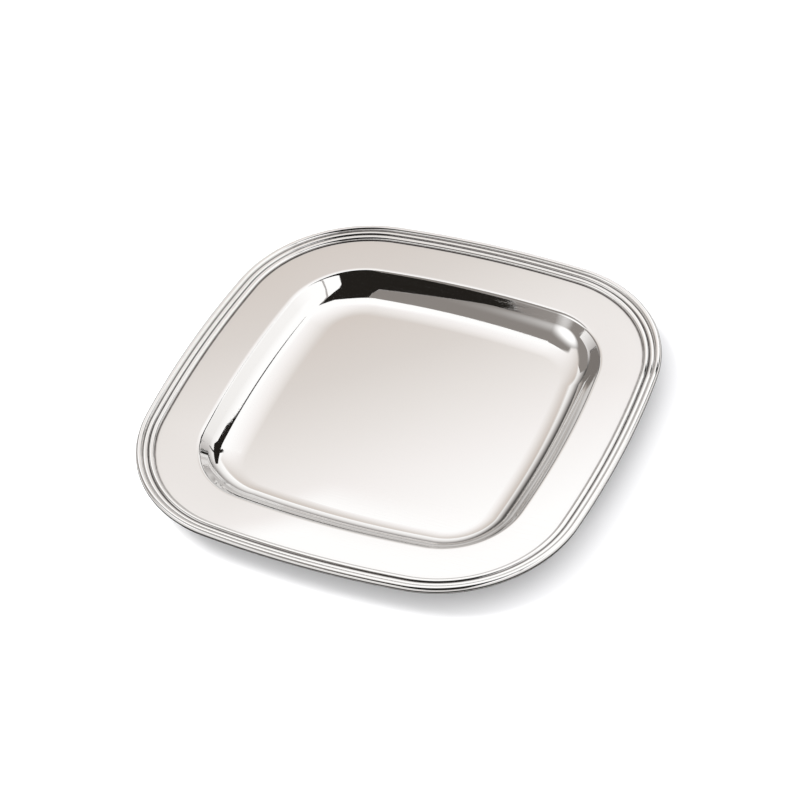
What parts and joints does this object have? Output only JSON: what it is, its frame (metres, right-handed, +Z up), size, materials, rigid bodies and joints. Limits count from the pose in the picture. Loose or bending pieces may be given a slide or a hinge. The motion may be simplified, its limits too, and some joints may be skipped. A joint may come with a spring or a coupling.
{
  "type": "salver",
  "caption": "Square silver salver with gently bowed sides, rounded corners, a coved well, a wide brim, and an applied reeded border finished by a round edge wire.",
  "frame": {"origin": "middle of the flat base, on the surface the salver stands on", "axes": "+Z up out of the well, -Y towards the front side, +X to the right; the sides' middles lie on the X and Y axes"},
  "size_m": [0.25, 0.25, 0.0198],
  "materials": {
    "pan": "polished silver, hand-burnished, with faint fine scratches",
    "reeding": "polished silver with slight tarnish left in the grooves",
    "edge_wire": "polished silver, worn bright on the crown"
  },
  "bodies": {
    "root": {"pan": "pan", "reeded_border_front_right": "reeding", "reeded_border_back_right": "reeding", "reeded_border_back_left": "reeding", "reeded_border_front_left": "reeding", "edge_wire_front": "edge_wire", "edge_wire_right": "edge_wire", "edge_wire_back": "edge_wire", "edge_wire_left": "edge_wire"}
  },
  "joints": []
}
